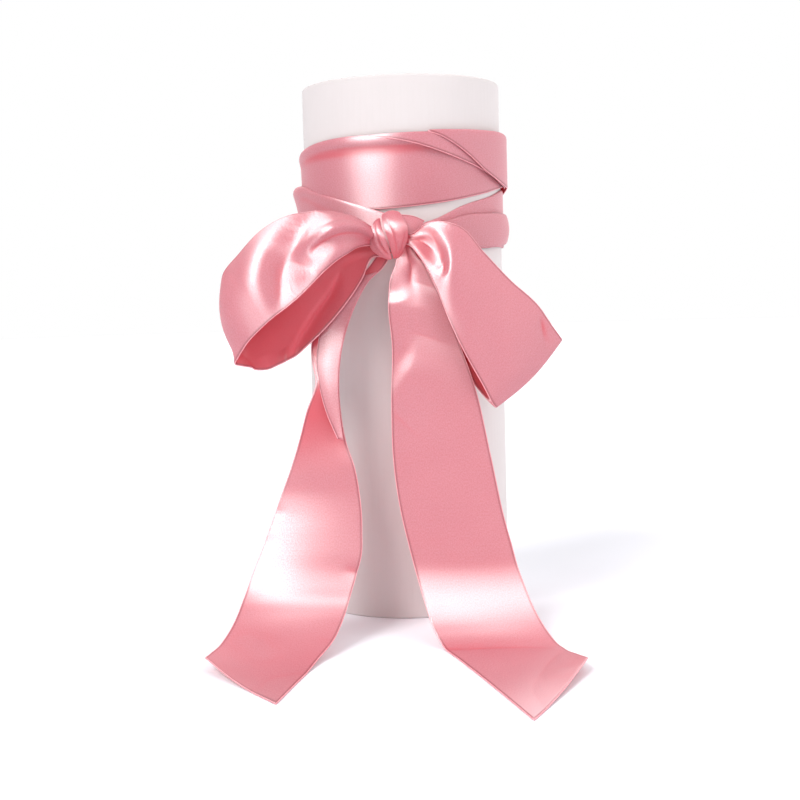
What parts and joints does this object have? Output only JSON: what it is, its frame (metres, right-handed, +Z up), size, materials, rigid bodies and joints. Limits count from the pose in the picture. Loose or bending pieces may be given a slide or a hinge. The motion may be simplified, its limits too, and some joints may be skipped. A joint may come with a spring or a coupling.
{
  "type": "skinny scarf on display cylinder",
  "caption": "Long narrow satin scarf wound round a plain display cylinder and tied in a front bow, its slanted tails resting on the floor.",
  "frame": {"origin": "centre of the display cylinder's base, on the floor", "axes": "+X to the viewer's right, +Y away from the viewer and the bow, +Z up along the cylinder"},
  "size_m": [0.1963, 0.3103, 0.315],
  "materials": {
    "pink_satin": "satin",
    "white_card": "matt"
  },
  "bodies": {
    "root": {"display_cylinder": "white_card", "upper_wrap": "pink_satin", "upper_wrap_turnover": "pink_satin", "upper_wrap_half_turn": "pink_satin", "back_wrap_over": "pink_satin", "back_wrap_under": "pink_satin", "lower_left_wrap": "pink_satin", "lower_right_wrap": "pink_satin", "lower_right_wrap_fold": "pink_satin", "knot_front_strap": "pink_satin", "knot_left_strap": "pink_satin", "knot_tip": "pink_satin", "left_loop": "pink_satin", "right_loop": "pink_satin", "left_tail": "pink_satin", "left_tail_turnover": "pink_satin", "right_tail": "pink_satin"}
  },
  "joints": []
}
